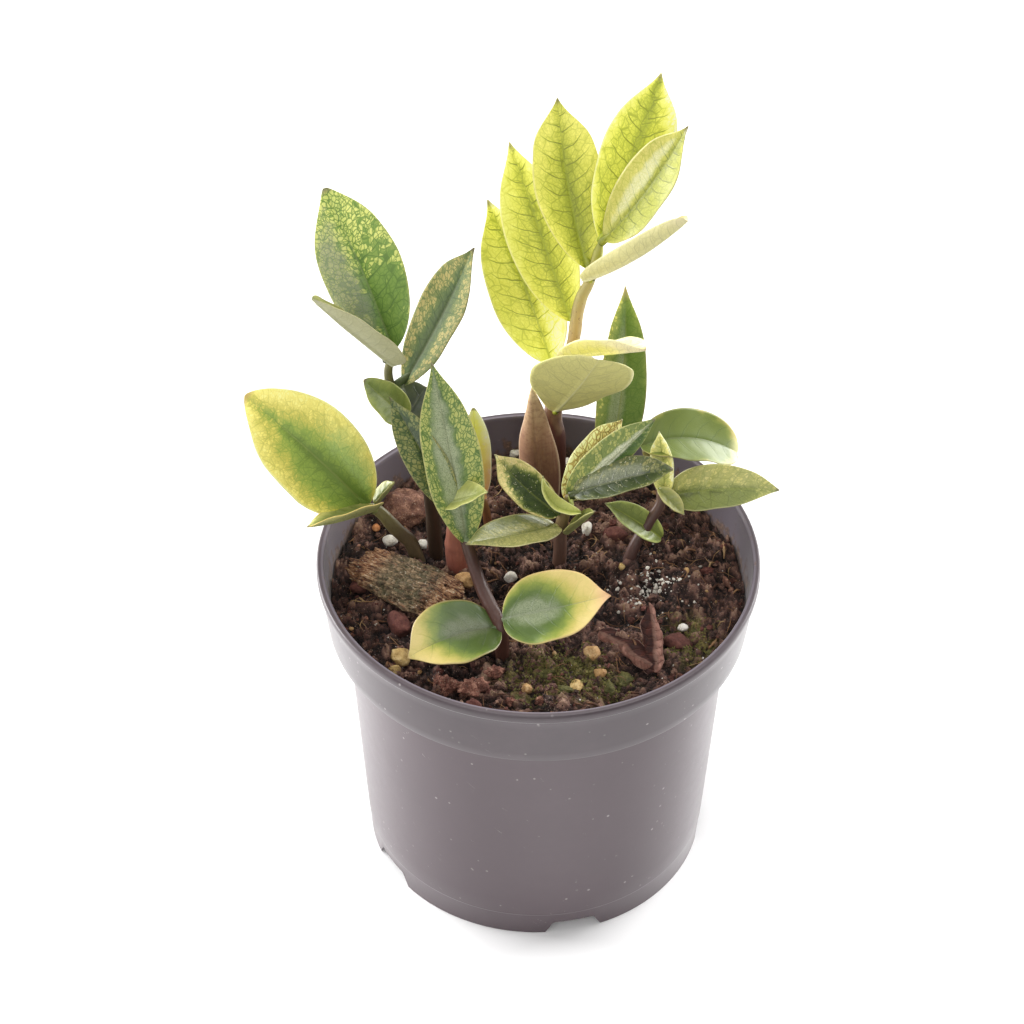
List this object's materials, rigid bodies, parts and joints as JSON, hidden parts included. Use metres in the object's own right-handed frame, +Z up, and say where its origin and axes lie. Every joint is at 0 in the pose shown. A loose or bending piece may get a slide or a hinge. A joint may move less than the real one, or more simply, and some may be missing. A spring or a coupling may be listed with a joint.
{
  "type": "potted chameleon zz plant",
  "caption": "Young variegated aroid house plant with fronds of waxy mottled leaflets, standing in potting mix in a tapered nursery pot with a stepped collar and a notched foot.",
  "frame": {"origin": "centre of the pot's flat underside, on the surface that the pot stands on", "axes": "+Z up along the pot's axis; -Y towards the plant's front; +X to the right"},
  "size_m": [0.1429, 0.1282, 0.2128],
  "materials": {
    "pot": "smooth satin plastic, grey with a mauve cast",
    "soil": "loose dark potting mix",
    "leaf_yellow": "waxy, yellow-green with dark veins",
    "leaf_green": "waxy, mottled green and yellow with a silver sheen",
    "leaf_pale": "waxy, green with pale edges",
    "sheath": "dry, papery, fine lengthwise lines",
    "sprout": "smooth, swollen, red-pink",
    "dead_leaf": "dry, curled, red-brown",
    "bark": "rough bark with moss",
    "clod": "crumbly, red-brown",
    "pebble": "matt, tan",
    "perlite": "matt, white, porous"
  },
  "bodies": {
    "root": {"pot": "pot", "soil": "soil", "frond_a": "leaf_yellow", "frond_b": "leaf_green", "frond_c": "leaf_green", "frond_e": "leaf_pale", "frond_f": "leaf_green", "frond_g": "leaf_pale", "frond_h": "leaf_green", "frond_i": "leaf_pale", "sheath_a": "sheath", "sprout_c": "sprout", "dead_leaf": "dead_leaf", "bark_chunk": "bark", "bark_bit_left": "bark", "bark_bit_right": "bark", "clod": "clod", "clod_red_left": "clod", "clod_red_right": "clod", "pebble_tan": "pebble", "pebble_yellow": "pebble", "pebble_front_a": "pebble", "pebble_front_b": "pebble", "pebble_front_c": "pebble", "pebble_front_d": "pebble", "perlite_left": "perlite", "perlite_mid": "perlite", "perlite_right": "perlite"}
  },
  "joints": []
}
